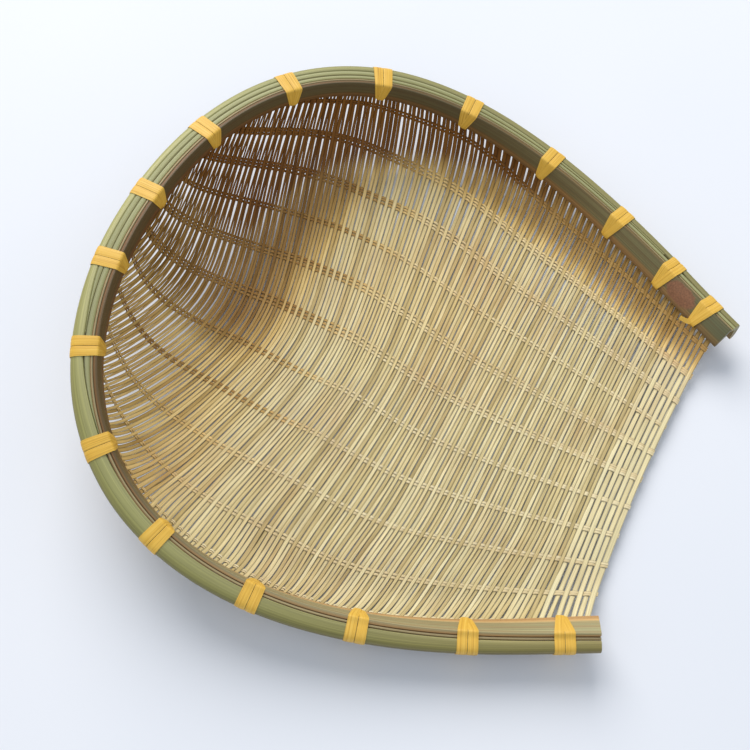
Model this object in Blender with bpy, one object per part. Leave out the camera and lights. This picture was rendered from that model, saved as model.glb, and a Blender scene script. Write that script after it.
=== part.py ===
"""Open-mouthed winnowing basket: two bamboo hoops, filler splints, a woven bed and its strip bindings.

The basket stands on its flat floor. +Z is up, the mouth faces -Y and the deep end is at +Y.
The rim is one plane-like curve that runs from the end of the left arm (-X), round the deep end,
to the end of the right arm (+X). Every rim piece is a section swept along it.
Sizes are in millimetres until they reach a mesh.
"""

import math

import bmesh
import bpy
import numpy as np
from mathutils import Vector

MM = 0.001

# Rim line, seen from above: half of it is a Bezier curve from the back to the end of one arm.
# X is the distance from the middle, Y the distance from the back.
LENGTH = 360.0
RIM_HALF = ((0.0, 0.0), (173.0, 0.0), (252.0, 121.0), (147.0, 288.0), (112.0, LENGTH))
RIM_MOUTH_Z = 27.0
RIM_SLOPE_Z = -17.0
RIM_BACK_Z = 78.0
RIM_PIECES = 76

# Lean of the inner hoop away from upright, from the back to the arm ends, in degrees.
LEAN_BACK = 6.0
LEAN_MOUTH = 57.0
OUTER_LEAN = 6.0

GAP = 0.4
HOOP_WIDTH_BACK = 11.8
HOOP_WIDTH_END = 15.0
INNER_THICK = 2.6

# How far the rim reaches outwards from the rim line, at fractions of its length from the left arm's end.
RIM_REACH = ((0.0, 8.6), (0.15, 11.2), (0.3, 14.2), (0.45, 15.2), (0.7, 14.6), (0.8, 11.8), (1.0, 8.5))

# Splints between the hoops, each given as (starts, ends) in fractions of the rim's length.
# The first lies sunk on the bed's edge along the left arm; the others thicken the deep end.
SPLINT_SPAN = ((0.0, 1.0), (0.335, 1.0), (0.40, 0.93))
SPLINT_HEIGHT = 2.4
SPLINT_SUNK = 1.3

# Woven bed.
BED_THICK = 1.6
BED_TOP = 3.2
FLOOR_Z = BED_THICK / 2
LIP_RISE = 5.0
LIP_RISE_FROM = 0.70
LIP_RECESS = 5.0
FOOT_LENGTH = 0.85
LIP_START = 4.5
LIP_WIDTH = 4.0

# Bindings: distances along the rim from the left arm's end to the first, then from each to the next.
BINDING_GAPS = (21, 56, 64, 63, 63, 61, 60, 57, 52, 59, 68, 66, 64, 66, 63, 50, 36)
BINDING_WIDTH = 12.5
BINDING_WAIST = 4.6
STRIP_THICK = 0.7
SLOT_LENGTH = 8.0
SLOT_HEIGHT = 3.4
SLOT_BELOW_HOOP = 1.5
SLOT_DEPTH = 9.0


def bezier(points, t):
    """Point at t on the Bezier curve of any number of control points."""
    order = len(points) - 1
    place = np.zeros(len(points[0]))
    for k, point in enumerate(points):
        place += math.comb(order, k) * (1 - t) ** (order - k) * t**k * np.array(point)
    return place


def smooth(x):
    """Ramp from 0 to 1 with soft ends."""
    x = min(max(x, 0.0), 1.0)
    return x * x * (3 - 2 * x)


def rim_height(along):
    """Height of the rim line; along is 0 at the back and 1 at the arm ends."""
    back = 1 - along
    return RIM_MOUTH_Z + RIM_SLOPE_Z * back + RIM_BACK_Z * back**2


def rim_line(steps=400):
    """Fine points of the whole rim line, left arm end to right arm end, mouth towards -Y."""
    half = [bezier(RIM_HALF, k / steps) for k in range(steps + 1)]
    left = [(-x, -y, rim_height(y / LENGTH)) for x, y in reversed(half)]
    right = [(x, -y, rim_height(y / LENGTH)) for x, y in half[1:]]
    return np.array(left + right)


class Rim:
    """The rim line cut into straight pieces, with a cross direction and an upright at each joint."""

    def __init__(self):
        fine = rim_line()
        steps = np.linalg.norm(np.diff(fine, axis=0), axis=1)
        walked = np.concatenate(([0.0], np.cumsum(steps)))
        self.length = walked[-1]
        self.stations = np.linspace(0.0, self.length, RIM_PIECES + 1)
        self.place = np.array([np.interp(self.stations, walked, fine[:, k]) for k in range(3)]).T
        ahead = np.gradient(self.place, axis=0)
        ahead /= np.linalg.norm(ahead, axis=1)[:, None]
        self.out = np.array([(-a[1], a[0], 0.0) for a in ahead])
        self.out /= np.linalg.norm(self.out, axis=1)[:, None]
        self.up = np.cross(self.out, ahead)
        self.up *= np.sign(self.up[:, 2])[:, None]

    def at(self, distance, row):
        return np.array([np.interp(distance, self.stations, row[:, k]) for k in range(3)])

    def point(self, distance, across, height):
        """A point across millimetres outwards and height millimetres up from the rim line."""
        place = self.at(distance, self.place)
        return place + across * self.at(distance, self.out) + height * self.at(distance, self.up)

    def along(self, distance):
        """0 at the back, 1 at the arm ends."""
        return -self.at(distance, self.place)[1] / LENGTH

    def lean(self, distance):
        turn = LEAN_BACK + (LEAN_MOUTH - LEAN_BACK) * max(self.along(distance), 0.0) ** 1.7
        return math.radians(turn)

    def fraction(self, distance):
        return distance / self.length


RIM = Rim()


def leaning(distance, out, up):
    """Across and height of a point given in the inner hoop's own leaning directions."""
    turn = RIM.lean(distance)
    across = out * math.cos(turn) + up * math.sin(turn)
    height = up * math.cos(turn) - out * math.sin(turn)
    return across, height


def hoop_width(distance):
    """Width of both hoops: narrow round the deep end, wider along the arms."""
    return HOOP_WIDTH_BACK + (HOOP_WIDTH_END - HOOP_WIDTH_BACK) * smooth(RIM.along(distance) / 0.9)


def splint_width(number, distance):
    """Width of a splint. The first is even; the others widen from a thin start and taper again."""
    part = RIM.fraction(distance)
    if number == 0:
        return 1.4 - 0.3 * smooth((part - 0.5) / 0.3)
    if number == 1:
        return 0.5 + 3.1 * smooth((part - 0.335) / 0.06) - 1.5 * smooth((part - 0.5) / 0.3)
    return 0.5 + 3.2 * smooth((part - 0.40) / 0.06) - 2.7 * smooth((part - 0.7) / 0.2)


def splint_share(number, distance):
    """1 where a splint lies between the hoops, 0 where it doesn't, with a short ramp outside its ends."""
    part = RIM.fraction(distance)
    starts, ends = SPLINT_SPAN[number]
    before = 1.0 if starts == 0.0 else smooth((part - starts) / 0.04 + 1)
    after = 1.0 if ends == 1.0 else smooth((ends - part) / 0.04 + 1)
    return before * after


def splint_inner(number, distance):
    """Distance of a splint's inner side from the rim line."""
    across = 0.2
    for k in range(number):
        across += splint_share(k, distance) * (splint_width(k, distance) + 0.3)
    return across


def outer_inner_side(distance):
    """Distance of the outer hoop's inner side from the rim line: past the bed and every splint."""
    return splint_inner(len(SPLINT_SPAN), distance) + 0.1


def outer_thickness(distance):
    """The outer hoop fills what the splints leave of the rim's reach."""
    starts, reach = zip(*RIM_REACH)
    return np.interp(RIM.fraction(distance), starts, reach) - outer_inner_side(distance)


def sweep(name, section, start, end, distances=None):
    """Closed solid swept along the rim; section(distance) gives (across, height) pairs in order."""
    if distances is None:
        inside = [d for d in RIM.stations if start + 1.0 < d < end - 1.0]
        distances = [start, *inside, end]
    mesh = bmesh.new()
    rings = []
    for distance in distances:
        ring = [mesh.verts.new(Vector(RIM.point(distance, *p) * MM)) for p in section(distance)]
        rings.append(ring)
    for near, far in zip(rings, rings[1:]):
        for k in range(len(near)):
            after = (k + 1) % len(near)
            mesh.faces.new((near[k], near[after], far[after], far[k]))
    mesh.faces.new(list(reversed(rings[0])))
    mesh.faces.new(rings[-1])
    return finish(name, mesh)


def finish(name, mesh, smooth_angle=40.0):
    """Turn a bmesh into an object with its faces pointing out and round parts shaded smooth."""
    mesh.normal_update()
    bmesh.ops.recalc_face_normals(mesh, faces=mesh.faces)
    data = bpy.data.meshes.new(name)
    mesh.to_mesh(data)
    mesh.free()
    data.shade_smooth()
    data.set_sharp_from_angle(angle=math.radians(smooth_angle))
    thing = bpy.data.objects.new(name, data)
    bpy.context.scene.collection.objects.link(thing)
    return thing


def paint(thing, colour, roughness, metallic=0.0):
    """Give the object a material of its own."""
    material = bpy.data.materials.new(thing.name + "_material")
    material.use_nodes = True
    shader = material.node_tree.nodes["Principled BSDF"]
    shader.inputs["Base Color"].default_value = (*colour, 1.0)
    shader.inputs["Roughness"].default_value = roughness
    shader.inputs["Metallic"].default_value = metallic
    thing.data.materials.clear()
    thing.data.materials.append(material)
    return thing


def inner_hoop():
    """Flat slat inside the rim, leaning with the wall."""
    thick = INNER_THICK

    def section(distance):
        wide = hoop_width(distance)
        outline = (
            (0.0, -0.5),
            (-0.5, 0.0),
            (0.5 - thick, 0.0),
            (-thick, -0.6),
            (-thick - 0.25, -wide / 2),
            (-thick, 0.6 - wide),
            (0.5 - thick, -wide),
            (-0.5, -wide),
            (0.0, 0.5 - wide),
        )
        return [leaning(distance, out, up) for out, up in outline]

    return sweep("inner_hoop", section, 0.0, RIM.length)


def outer_section(distance):
    """D-shaped split with its skin side outwards."""
    side = outer_inner_side(distance)
    thick = outer_thickness(distance)
    high = hoop_width(distance)
    outline = (
        (0.0, -0.3),
        (0.2 * thick, 0.2),
        (0.6 * thick, 0.1),
        (0.88 * thick, -0.06 * high),
        (1.0 * thick, -0.22 * high),
        (1.0 * thick, -0.5 * high),
        (0.9 * thick, -0.8 * high),
        (0.5 * thick, -high),
        (0.0, -high),
    )
    turn = math.radians(OUTER_LEAN)
    return [
        (side + out * math.cos(turn) + up * math.sin(turn), up * math.cos(turn) - out * math.sin(turn))
        for out, up in outline
    ]


def outer_hoop():
    return sweep("outer_hoop", outer_section, 0.0, RIM.length)


def rim_splint(number):
    """Narrow filler splint that lies on the bed's edge between the two hoops."""

    def section(distance):
        wide = splint_width(number, distance)
        side = splint_inner(number, distance)
        low = -SPLINT_HEIGHT - 0.2
        sunk = SPLINT_SUNK * (1 - smooth((RIM.fraction(distance) - 0.3) / 0.12))
        top = 0.05 - (sunk if number == 0 else 0.0)
        return [
            (side, low),
            (side, top - 0.4),
            (side + 0.3 * wide, top),
            (side + 0.7 * wide, top),
            (side + wide, top - 0.4),
            (side + wide, low),
        ]

    starts, ends = SPLINT_SPAN[number]
    return sweep(f"rim_splint_{number + 1}", section, starts * RIM.length, ends * RIM.length)


def bed_profile(distance):
    """Points of the bed from its edge under the rim, down the wall and over the floor to the middle."""
    middle = BED_THICK / 2 + GAP
    upper = []
    below = hoop_width(distance) + 0.5
    for depth in (BED_TOP, (BED_TOP + below) / 2, below):
        upper.append(RIM.point(distance, *leaning(distance, middle, -depth)))
    edge = upper[-1]
    along = -edge[1] / LENGTH
    widest = -WIDEST_Y / LENGTH
    if along > widest:
        recess = LIP_RECESS * ((along - widest) / (1 - widest)) ** 2
        centre = np.array([0.0, edge[1] + recess])
    else:
        recess = 0.0
        centre = np.array([0.0, WIDEST_Y])
    inward = np.array([-edge[0], 0.0]) if along > widest else centre - edge[:2]
    reach = np.linalg.norm(inward)
    inward = inward / reach
    turn = RIM.lean(distance)
    lift = LIP_RISE * smooth((along - LIP_RISE_FROM) / (1 - LIP_RISE_FROM)) ** 1.5
    floor = FLOOR_Z + lift
    drop = edge[2] - floor
    knee = drop * math.tan(turn)
    foot = knee + FOOT_LENGTH * math.hypot(knee, drop)
    lower = []
    for k in range(1, 7):
        t = k / 6
        run = 2 * t * (1 - t) * knee + t * t * foot
        height = (1 - t) ** 2 * edge[2] + (1 - (1 - t) ** 2) * floor
        lower.append((run, height))
    for k in (1, 2, 3):
        lower.append((foot + (reach - foot) * k / 3, floor))
    points = list(upper)
    for run, height in lower:
        place = edge[:2] + inward * run
        back = recess * (1 - (1 - run / reach) ** 2)
        points.append(np.array([place[0], place[1] + back, height]))
    return points


def widest_y():
    line = rim_line()
    return line[np.argmax(line[:, 0])][1]


WIDEST_Y = widest_y()


def bed_sheet(name, distances, thickness):
    """Sheet through the bed's profiles at the given distances, given its thickness by Solidify."""
    mesh = bmesh.new()
    known = {}

    def vertex(place):
        key = tuple(round(float(v), 3) for v in place)
        if key not in known:
            known[key] = mesh.verts.new(Vector(place) * MM)
        return known[key]

    rows = [[vertex(p) for p in bed_profile(d)] for d in distances]
    for near, far in zip(rows, rows[1:]):
        for k in range(len(near) - 1):
            corners = [near[k], near[k + 1], far[k + 1], far[k]]
            corners = list(dict.fromkeys(corners))
            if len(corners) > 2:
                mesh.faces.new(corners)
    return solid_sheet(name, mesh, thickness)


def solid_sheet(name, mesh, thickness):
    bmesh.ops.recalc_face_normals(mesh, faces=mesh.faces)
    thing = finish(name, mesh)
    thicken = thing.modifiers.new("thickness", "SOLIDIFY")
    thicken.thickness = thickness * MM
    thicken.offset = 0.0
    return thing


def slot_cutter(number, distance):
    """Box through the bed just under the inner hoop, where a binding passes."""
    mesh = bmesh.new()
    bmesh.ops.create_cube(mesh, size=1.0)
    middle = BED_THICK / 2 + GAP
    depth = hoop_width(distance) + SLOT_BELOW_HOOP
    centre = RIM.point(distance, *leaning(distance, middle, -depth))
    outside = RIM.point(distance, *leaning(distance, middle + 1, -depth))
    above = RIM.point(distance, *leaning(distance, middle, 1 - depth))
    through = outside - centre
    upright = above - centre
    ahead = np.cross(upright, through)
    for vert in mesh.verts:
        x, y, z = vert.co
        shift = ahead * (x * SLOT_LENGTH) + through * (y * SLOT_DEPTH) + upright * (z * SLOT_HEIGHT)
        vert.co = Vector(centre + shift) * MM
    thing = finish(f"slot_cutter_{number:02d}", mesh)
    thing.hide_render = True
    thing.display_type = "WIRE"
    return thing


def binding_path(distance):
    """Middle line of a binding's strip round the rim: rows of across, height and width share."""
    clear = GAP + STRIP_THICK / 2
    slat_in = -INNER_THICK - 0.25 - clear
    wide = hoop_width(distance)
    side = outer_inner_side(distance)
    thick = outer_thickness(distance)
    turn = math.radians(OUTER_LEAN)

    def on_outer(out, up, share=1.0):
        across = side + out * math.cos(turn) + up * math.sin(turn)
        height = up * math.cos(turn) - out * math.sin(turn)
        return across, height, share

    under = -wide - clear
    return [
        (*leaning(distance, -1.0, under), 0.0),
        (*leaning(distance, 0.35 - INNER_THICK, under), 0.05),
        (*leaning(distance, slat_in + 0.05, 0.7 - wide), 0.15),
        (*leaning(distance, slat_in, -wide / 2), 0.62),
        (*leaning(distance, slat_in + 0.1, -0.9), 1.0),
        (*leaning(distance, 0.3 - INNER_THICK, clear), 1.0),
        (0.5 * side, clear + 0.1, 1.0),
        on_outer(0.2 * thick, clear + 0.25),
        on_outer(0.62 * thick + 0.2, clear + 0.15),
        on_outer(0.88 * thick + 0.55, 0.45 - 0.06 * wide),
        on_outer(1.0 * thick + clear, -0.22 * wide),
        on_outer(1.0 * thick + clear, -0.5 * wide),
        on_outer(0.9 * thick + clear + 0.1, -0.82 * wide),
        on_outer(0.52 * thick + 0.35, -wide - clear),
        on_outer(-0.3, -wide - clear - 0.2),
        (*leaning(distance, BED_THICK + 2.2, under - 0.6), 0.1),
        (*leaning(distance, BED_THICK / 2 + GAP, under - 0.2), 0.0),
    ]


def binding(number, distance):
    """One closed band: up the inner hoop, over the rim, down the outer hoop and back through the bed."""
    steps = (-1.0, -0.34, 0.34, 1.0)
    path = binding_path(distance)
    middle = np.array([row[:2] for row in path])
    share = np.array([row[2] for row in path])
    before = np.roll(middle, 1, axis=0)
    after = np.roll(middle, -1, axis=0)
    tangent = after - before
    tangent /= np.linalg.norm(tangent, axis=1)[:, None]
    normal = np.stack((-tangent[:, 1], tangent[:, 0]), axis=1)
    half_width = (BINDING_WAIST + (BINDING_WIDTH - BINDING_WAIST) * share) / 2
    mesh = bmesh.new()
    grids = []
    for face in (-0.5, 0.5):
        line = middle + normal * face * STRIP_THICK
        grid = []
        for k, (across, height) in enumerate(line):
            row = []
            for step in steps:
                there = distance + step * half_width[k]
                row.append(mesh.verts.new(Vector(RIM.point(there, across, height)) * MM))
            grid.append(row)
        grids.append(grid)
    count = len(middle)
    last = len(steps) - 1
    for k in range(count):
        nxt = (k + 1) % count
        for grid in grids:
            for j in range(last):
                mesh.faces.new((grid[k][j], grid[nxt][j], grid[nxt][j + 1], grid[k][j + 1]))
        for j in (0, last):
            mesh.faces.new((grids[0][k][j], grids[1][k][j], grids[1][nxt][j], grids[0][nxt][j]))
    return finish(f"binding_{number:02d}", mesh)


def woven_bed(binding_places):
    """Bowl of the basket, with a slot for each binding."""
    start = LIP_START + LIP_WIDTH + 0.4
    inside = [d for d in RIM.stations if start + 5.0 < d < RIM.length - start - 5.0]
    bed = bed_sheet("woven_bed", [start, *inside, RIM.length - start], BED_THICK)
    for number, distance in enumerate(binding_places, 1):
        cutter = slot_cutter(number, distance)
        cut = bed.modifiers.new(cutter.name, "BOOLEAN")
        cut.object = cutter
        cut.operation = "DIFFERENCE"
        cut.solver = "EXACT"
    return bed


def lip_weft():
    """The last, heavier weft along the mouth edge: two thin ends under the arms and the lip between."""
    near = bed_profile(LIP_START)
    far = bed_profile(LIP_START + LIP_WIDTH)
    near += reversed([mirrored(p) for p in near[:-1]])
    far += reversed([mirrored(p) for p in far[:-1]])
    mesh = bmesh.new()
    front = [mesh.verts.new(Vector(p) * MM) for p in near]
    back = [mesh.verts.new(Vector(p) * MM) for p in far]
    for k in range(len(front) - 1):
        mesh.faces.new((front[k], front[k + 1], back[k + 1], back[k]))
    return solid_sheet("lip_weft", mesh, BED_THICK)


def mirrored(place):
    return np.array([-place[0], place[1], place[2]])


def stand_on_origin(things):
    """Parent everything to one empty, placed so the basket's box is centred over the origin."""
    bpy.context.view_layer.update()
    corners = np.array([v.co for thing in things for v in evaluated_vertices(thing)])
    low = corners.min(axis=0)
    high = corners.max(axis=0)
    base = bpy.data.objects.new("basket_base", None)
    bpy.context.scene.collection.objects.link(base)
    base.location = (-(low[0] + high[0]) / 2, -(low[1] + high[1]) / 2, -low[2])
    for thing in bpy.context.scene.objects:
        if thing is not base:
            thing.parent = base


def evaluated_vertices(thing):
    graph = bpy.context.evaluated_depsgraph_get()
    return thing.evaluated_get(graph).to_mesh().vertices


def main():
    for thing in list(bpy.data.objects):
        bpy.data.objects.remove(thing, do_unlink=True)
    binding_places = np.cumsum(BINDING_GAPS)
    things = [
        paint(outer_hoop(), (0.28, 0.33, 0.13), 0.4),
        paint(inner_hoop(), (0.35, 0.31, 0.15), 0.5),
        paint(woven_bed(binding_places), (0.62, 0.47, 0.24), 0.6),
        paint(lip_weft(), (0.72, 0.6, 0.36), 0.55),
    ]
    for number in range(len(SPLINT_SPAN)):
        things.append(paint(rim_splint(number), (0.42, 0.48, 0.24), 0.45))
    for number, distance in enumerate(binding_places, 1):
        things.append(paint(binding(number, distance), (0.86, 0.52, 0.1), 0.45))
    stand_on_origin(things)


main()
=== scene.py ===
"""Winnowing basket: hoops, splints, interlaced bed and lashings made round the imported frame.

Sizes are in millimetres until they reach a mesh. Distances along the rim start at the end of the left
arm (-X), run round the deep end (+Y) and finish at the end of the right arm (+X).
"""

import math

import bpy
import numpy as np
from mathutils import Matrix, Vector


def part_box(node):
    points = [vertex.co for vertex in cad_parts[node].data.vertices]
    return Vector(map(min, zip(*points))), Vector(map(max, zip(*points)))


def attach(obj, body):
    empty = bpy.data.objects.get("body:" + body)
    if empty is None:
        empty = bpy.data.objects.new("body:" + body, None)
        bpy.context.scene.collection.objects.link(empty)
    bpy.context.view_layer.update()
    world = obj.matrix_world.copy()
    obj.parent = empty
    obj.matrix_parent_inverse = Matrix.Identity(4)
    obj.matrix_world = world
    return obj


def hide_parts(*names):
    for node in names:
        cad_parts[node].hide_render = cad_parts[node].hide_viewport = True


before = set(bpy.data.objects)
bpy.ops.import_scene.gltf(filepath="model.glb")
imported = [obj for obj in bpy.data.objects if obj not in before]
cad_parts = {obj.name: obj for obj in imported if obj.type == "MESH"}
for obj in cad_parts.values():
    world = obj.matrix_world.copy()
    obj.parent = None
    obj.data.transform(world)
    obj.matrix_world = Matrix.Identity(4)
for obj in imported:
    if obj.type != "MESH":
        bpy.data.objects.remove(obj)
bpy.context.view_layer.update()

MM = 0.001
DRAW = np.random.default_rng(11)

# ---------------------------------------------------------------- sizes of the frame

# The rim line: half of it from above as a Bezier curve from the back, and its height along the basket.
LENGTH = 360.0
RIM_PIECES = 600
RIM_HALF = ((0.0, 0.0), (173.0, 0.0), (252.0, 121.0), (147.0, 288.0), (112.0, LENGTH))
RIM_MOUTH_Z = 27.0
RIM_SLOPE_Z = -17.0
RIM_BACK_Z = 78.0
# Leans from upright in degrees. The slat's grows from the back to the mouth.
LEAN_BACK = 6.0
LEAN_MOUTH = 57.0
OUTER_LEAN = 6.0
# Sections of the hoops. RIM_REACH is how far the outer hoop reaches out, as (share of the rim, reach).
GAP = 0.4
HOOP_WIDTH_BACK = 11.8
HOOP_WIDTH_END = 15.0
INNER_THICK = 2.6
RIM_REACH = ((0.0, 8.6), (0.15, 11.2), (0.3, 14.2), (0.45, 15.2), (0.7, 14.6), (0.8, 11.8), (1.0, 8.5))
# Splints: where each starts and ends round the rim, its first width, and changes of it as (gain, from, over).
SPLINT_SPAN = ((0.0, 1.0), (0.335, 1.0), (0.40, 0.93))
SPLINT_WIDTHS = (
    (1.4, (-0.3, 0.5, 0.3)),
    (0.5, (3.1, 0.335, 0.06), (-1.5, 0.5, 0.3)),
    (0.5, (3.2, 0.40, 0.06), (-2.7, 0.7, 0.2)),
)
SPLINT_INNER = 0.2
SPLINT_APART = 0.3
SPLINT_TAPER = 0.04
OUTER_APART = 0.1
SPLINT_HEIGHT = 2.4
SPLINT_SUNK = 0.25
# The bed: its thickness, its top edge below the rim line, and how its floor rises and draws back at the lip.
BED_THICK = 1.6
BED_TOP = 3.2
FLOOR_Z = BED_THICK / 2
LIP_RISE = 5.0
LIP_RISE_FROM = 0.70
LIP_RECESS = 5.0
FOOT_LENGTH = 0.85
LIP_START = 4.5
LIP_WIDTH = 4.0
# Lashings, as steps along the rim from the end of the left arm.
BINDING_GAPS = (21, 56, 64, 63, 63, 61, 60, 57, 52, 59, 68, 66, 64, 66, 63, 50, 36)
BINDINGS = np.cumsum(BINDING_GAPS).astype(float)


def smooth(x):
    """Ramp from 0 to 1 with soft ends."""
    x = np.clip(x, 0.0, 1.0)
    return x * x * (3 - 2 * x)


def bezier(points, t):
    """Points of a Bezier curve of any order at the shares t."""
    order = len(points) - 1
    place = np.zeros((len(t), len(points[0])))
    for k, point in enumerate(points):
        share = math.comb(order, k) * (1 - t) ** (order - k) * t**k
        place += share[:, None] * np.array(point)
    return place


def unit(rows):
    """Rows scaled to length 1."""
    return rows / np.linalg.norm(rows, axis=-1, keepdims=True)


def walked(rows):
    """Distance walked along rows of points, from 0 at the first."""
    return np.concatenate(([0.0], np.cumsum(np.linalg.norm(np.diff(rows, axis=0), axis=1))))


class Rim:
    """The rim line, with a cross direction and an upright at every point of it."""

    def __init__(self):
        half = bezier(RIM_HALF, np.linspace(0.0, 1.0, 401))
        back = 1 - half[:, 1] / LENGTH
        height = RIM_MOUTH_Z + RIM_SLOPE_Z * back + RIM_BACK_Z * back**2
        right = np.column_stack((half[:, 0], -half[:, 1], height))
        fine = np.concatenate((right[:0:-1] * (-1, 1, 1), right))
        passed = walked(fine)
        self.length = passed[-1]
        self.stations = np.linspace(0.0, self.length, RIM_PIECES + 1)
        self.place = self.spread(self.stations, passed, fine)
        ahead = unit(np.gradient(self.place, axis=0))
        self.out = unit(np.column_stack((-ahead[:, 1], ahead[:, 0], np.zeros(len(ahead)))))
        self.up = np.cross(self.out, ahead)
        self.up *= np.sign(self.up[:, 2])[:, None]

    @staticmethod
    def spread(where, stations, rows):
        """Rows of three numbers, given at stations, read off at where."""
        return np.stack([np.interp(where, stations, rows[:, k]) for k in range(3)], axis=-1)

    def at(self, distance, rows):
        return self.spread(np.asarray(distance, float), self.stations, rows)

    def point(self, distance, across, height):
        """Place of a point across (outwards) and height (upwards) from the rim line."""
        distance, across, height = np.broadcast_arrays(distance, across, height)
        place = self.at(distance, self.place)
        shift = across[..., None] * self.at(distance, self.out)
        return place + shift + height[..., None] * self.at(distance, self.up)

    def along(self, distance):
        """0 at the back, 1 at the arm ends."""
        return -self.at(distance, self.place)[..., 1] / LENGTH

    def lean(self, distance):
        """Angle of the slat from upright, in radians."""
        reach = np.maximum(self.along(distance), 0.0)
        return np.radians(LEAN_BACK + (LEAN_MOUTH - LEAN_BACK) * reach**1.7)


RIM = Rim()


def leaning(distance, out, up):
    """Across and height of a point given in the leaning slat's own directions."""
    turn = RIM.lean(distance)
    return out * np.cos(turn) + up * np.sin(turn), up * np.cos(turn) - out * np.sin(turn)


def hoop_width(distance):
    return HOOP_WIDTH_BACK + (HOOP_WIDTH_END - HOOP_WIDTH_BACK) * smooth(RIM.along(distance) / 0.9)


def splint_width(number, distance):
    part = distance / RIM.length
    width, *changes = SPLINT_WIDTHS[number]
    for gain, begin, over in changes:
        width = width + gain * smooth((part - begin) / over)
    return width


def splint_share(number, distance):
    """1 where a splint is, falling to 0 just beyond its ends, to make room for it."""
    part = distance / RIM.length
    starts, ends = SPLINT_SPAN[number]
    before = smooth((part - starts) / SPLINT_TAPER + 1) if starts else 1.0
    after = smooth((ends - part) / SPLINT_TAPER + 1) if ends < 1.0 else 1.0
    return before * after


def splint_inner(number, distance):
    """How far out a splint's inner side lies, past the splints before it."""
    across = SPLINT_INNER
    for k in range(number):
        across = across + splint_share(k, distance) * (splint_width(k, distance) + SPLINT_APART)
    return across


def outer_inner_side(distance):
    return splint_inner(len(SPLINT_SPAN), distance) + OUTER_APART


def outer_thickness(distance):
    starts, reach = zip(*RIM_REACH)
    return np.interp(distance / RIM.length, starts, reach) - outer_inner_side(distance)


def frame_shift():
    """From the sketch's coordinates to the frame's. The rim is symmetric, so only Y shifts."""
    low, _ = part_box("inner_hoop")
    corners = []
    for out, up in ((0.0, 0.0), (-INNER_THICK, 0.0), (-INNER_THICK, -1.0), (0.0, -1.0)):
        depth = up * hoop_width(RIM.stations)
        corners.append(RIM.point(RIM.stations, *leaning(RIM.stations, out, depth)))
    corners = np.concatenate(corners)
    return np.array((0.0, low.y / MM - corners[:, 1].min(), 0.0))


SHIFT = frame_shift()

# ---------------------------------------------------------------- the bed as a sheet

LEFT = slice(len(RIM.stations) // 2)
WIDEST = RIM.stations[LEFT][np.argmin(RIM.place[LEFT, 0])]
BELOW_HOOP = 0.5
UPPER_POINTS = 5
CURVE_POINTS = 32
FLAT_POINTS = 11
PROFILE_POINTS = 81
CENTRE_Y = RIM.point(WIDEST, *leaning(WIDEST, BED_THICK / 2 + GAP, -hoop_width(WIDEST) - BELOW_HOOP))[1]
FRONT_SCALE = 200.0
SHEET_LIP = (LIP_START + LIP_WIDTH / 2 - WIDEST) / FRONT_SCALE


def bed_profile(distance):
    """Middle of the bed from its edge under the rim to the middle of the basket, in even steps."""
    middle = BED_THICK / 2 + GAP
    below = hoop_width(distance) + BELOW_HOOP
    depths = np.linspace(BED_TOP, below, UPPER_POINTS)
    upper = [RIM.point(distance, *leaning(distance, middle, -depth)) for depth in depths]
    edge = upper[-1]
    along = -edge[1] / LENGTH
    widest = -CENTRE_Y / LENGTH
    front = distance < WIDEST
    recess = LIP_RECESS * (max(along - widest, 0.0) / (1 - widest)) ** 2 if front else 0.0
    centre = np.array([0.0, CENTRE_Y])
    inward = np.array([-edge[0], 0.0]) if front else centre - edge[:2]
    reach = np.linalg.norm(inward)
    inward = inward / reach
    lift = LIP_RISE * smooth((along - LIP_RISE_FROM) / (1 - LIP_RISE_FROM)) ** 1.5
    floor = FLOOR_Z + lift
    drop = edge[2] - floor
    knee = drop * math.tan(RIM.lean(distance))
    foot = knee + FOOT_LENGTH * math.hypot(knee, drop)
    t = np.linspace(0.0, 1.0, CURVE_POINTS + 1)[1:]
    curve = np.column_stack((2 * t * (1 - t) * knee + t * t * foot, (1 - t) ** 2 * drop + floor))
    flat = np.linspace(foot, reach, FLAT_POINTS + 1)[1:]
    lower = np.concatenate((curve, np.column_stack((flat, np.full(len(flat), floor)))))
    place = edge[:2] + inward * lower[:, :1]
    place[:, 1] += recess * (1 - (1 - lower[:, 0] / reach) ** 2)
    rows = np.concatenate((upper, np.column_stack((place, lower[:, 1]))))
    passed = walked(rows)
    return Rim.spread(np.linspace(0.0, passed[-1], PROFILE_POINTS), passed, rows)


SHEET_START = 0.5
SHEET_ROWS = 301
UPRIGHT_STEP = 0.006


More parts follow.
